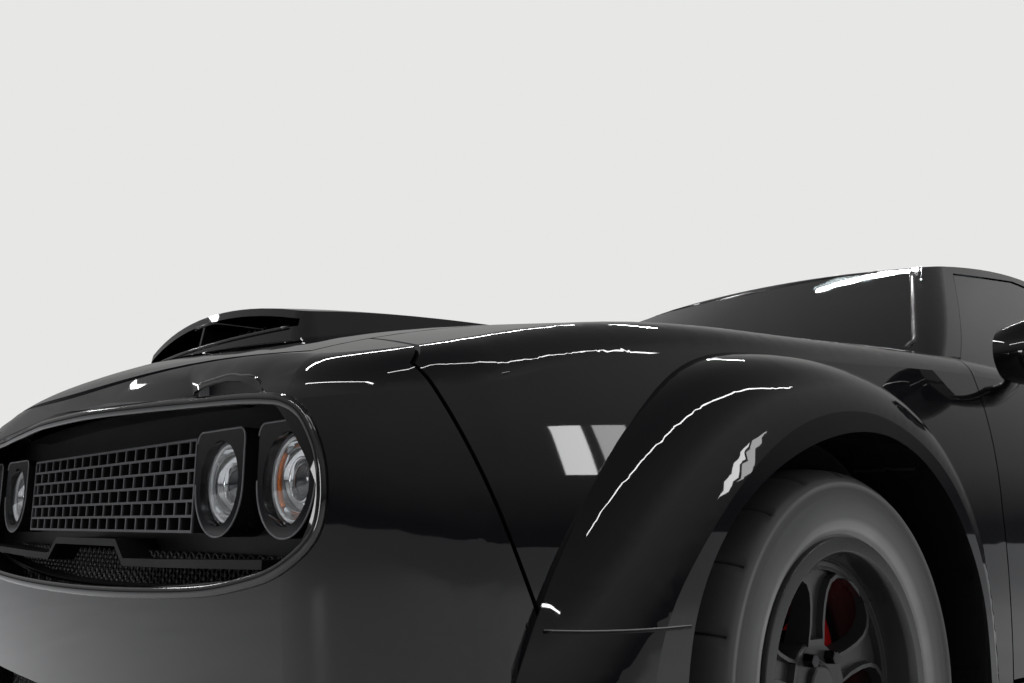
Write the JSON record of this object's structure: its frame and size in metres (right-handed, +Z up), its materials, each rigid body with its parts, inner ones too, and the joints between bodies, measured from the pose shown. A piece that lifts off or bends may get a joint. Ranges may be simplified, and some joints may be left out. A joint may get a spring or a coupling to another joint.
{
  "type": "muscle car",
  "caption": "Wide-body two-door coupe with a hood scoop, quad round lamps, opening doors, hood and trunk, and steered front wheels.",
  "frame": {"origin": "ground point under the middle of the bounding box", "axes": "+X the car's left, +Y rearward, +Z up"},
  "size_m": [2.19, 5.017, 1.4531],
  "materials": {
    "body_paint": "gloss black clear coat",
    "trim_black": "satin black",
    "grille_satin": "satin dark grey",
    "bezel_black": "gloss black",
    "lamp_glass": "clear",
    "tail_red": "dark red lens",
    "window_glass": "tinted",
    "underbody_black": "satin black underseal",
    "engine_iron": "cast",
    "radiator_aluminium": "finned",
    "exhaust_steel": "satin",
    "cabin_trim": "grained",
    "seat_leather": "black leather",
    "caliper_red": "gloss red",
    "tyre_rubber": "semi-slick rubber",
    "rim_black": "satin black coated forging"
  },
  "bodies": {
    "body": {"front_fascia": "body_paint", "fenders": "body_paint", "quarter_panels": "body_paint", "rear_fascia": "body_paint", "rear_deck": "body_paint", "roof": "body_paint", "wheel_flares": "body_paint", "sills": "body_paint", "grille_tray": "trim_black", "splitter": "trim_black", "cowl": "trim_black", "rear_valance": "trim_black", "grille": "grille_satin", "lamp_bezels": "bezel_black", "lamp_lenses": "lamp_glass", "tail_lamps": "tail_red", "fixed_glass": "window_glass", "floor_pan": "underbody_black", "tunnel": "underbody_black", "bulkheads": "underbody_black", "front_rails": "underbody_black", "front_liners": "underbody_black", "rear_liners": "underbody_black", "front_cradle": "underbody_black", "rear_cradle": "underbody_black", "engine": "engine_iron", "radiator": "radiator_aluminium", "exhaust": "exhaust_steel", "dashboard": "cabin_trim", "steering_wheel": "cabin_trim", "front_seats": "seat_leather", "rear_seat": "seat_leather"},
    "hood": {"hood_panel": "body_paint", "hood_scoop": "body_paint"},
    "trunk": {"trunk_lid": "body_paint", "spoiler": "body_paint"},
    "door_left": {"door_left": "body_paint", "door_glass_left": "window_glass", "mirror_left": "body_paint"},
    "door_right": {"door_right": "body_paint", "door_glass_right": "window_glass", "mirror_right": "body_paint"},
    "knuckle_left": {"knuckle_left": "engine_iron", "caliper_left": "caliper_red"},
    "knuckle_right": {"knuckle_right": "engine_iron", "caliper_right": "caliper_red"},
    "wheel_front_left": {"tyre_front_left": "tyre_rubber", "rim_front_left": "rim_black"},
    "wheel_front_right": {"tyre_front_right": "tyre_rubber", "rim_front_right": "rim_black"},
    "wheel_rear_left": {"tyre_rear_left": "tyre_rubber", "rim_rear_left": "rim_black"},
    "wheel_rear_right": {"tyre_rear_right": "tyre_rubber", "rim_rear_right": "rim_black"}
  },
  "joints": [
    {"name": "steer_left", "type": "hinge", "parent": "body", "child": "knuckle_left", "pos_m": [0.785, -1.55, 0.3545], "axis": [0, 0, 1], "range_deg": [-30, 30]},
    {"name": "steer_right", "type": "hinge", "parent": "body", "child": "knuckle_right", "pos_m": [-0.785, -1.55, 0.3545], "axis": [0, 0, 1], "range_deg": [-30, 30]},
    {"name": "door_left_hinge", "type": "hinge", "parent": "body", "child": "door_left", "pos_m": [0.905, -0.862, 0.62], "axis": [0, 0, -1], "range_deg": [0, 65]},
    {"name": "door_right_hinge", "type": "hinge", "parent": "body", "child": "door_right", "pos_m": [-0.905, -0.862, 0.62], "axis": [0, 0, 1], "range_deg": [0, 65]},
    {"name": "hood_hinge", "type": "hinge", "parent": "body", "child": "hood", "pos_m": [0, -0.822, 1.048], "axis": [-1, 0, 0], "range_deg": [0, 50]},
    {"name": "trunk_hinge", "type": "hinge", "parent": "body", "child": "trunk", "pos_m": [0, 1.545, 1.112], "axis": [1, 0, 0], "range_deg": [0, 70]},
    {"name": "spin_front_left", "type": "hinge", "parent": "knuckle_left", "child": "wheel_front_left", "pos_m": [0.8, -1.55, 0.3545], "axis": [1, 0, 0], "continuous": true},
    {"name": "spin_front_right", "type": "hinge", "parent": "knuckle_right", "child": "wheel_front_right", "pos_m": [-0.8, -1.55, 0.3545], "axis": [1, 0, 0], "continuous": true},
    {"name": "spin_rear_left", "type": "hinge", "parent": "body", "child": "wheel_rear_left", "pos_m": [0.8, 1.4, 0.3545], "axis": [1, 0, 0], "continuous": true},
    {"name": "spin_rear_right", "type": "hinge", "parent": "body", "child": "wheel_rear_right", "pos_m": [-0.8, 1.4, 0.3545], "axis": [1, 0, 0], "continuous": true}
  ],
  "couplings": [
    {"joint": "steer_right", "follows": "steer_left", "ratio": 1}
  ]
}
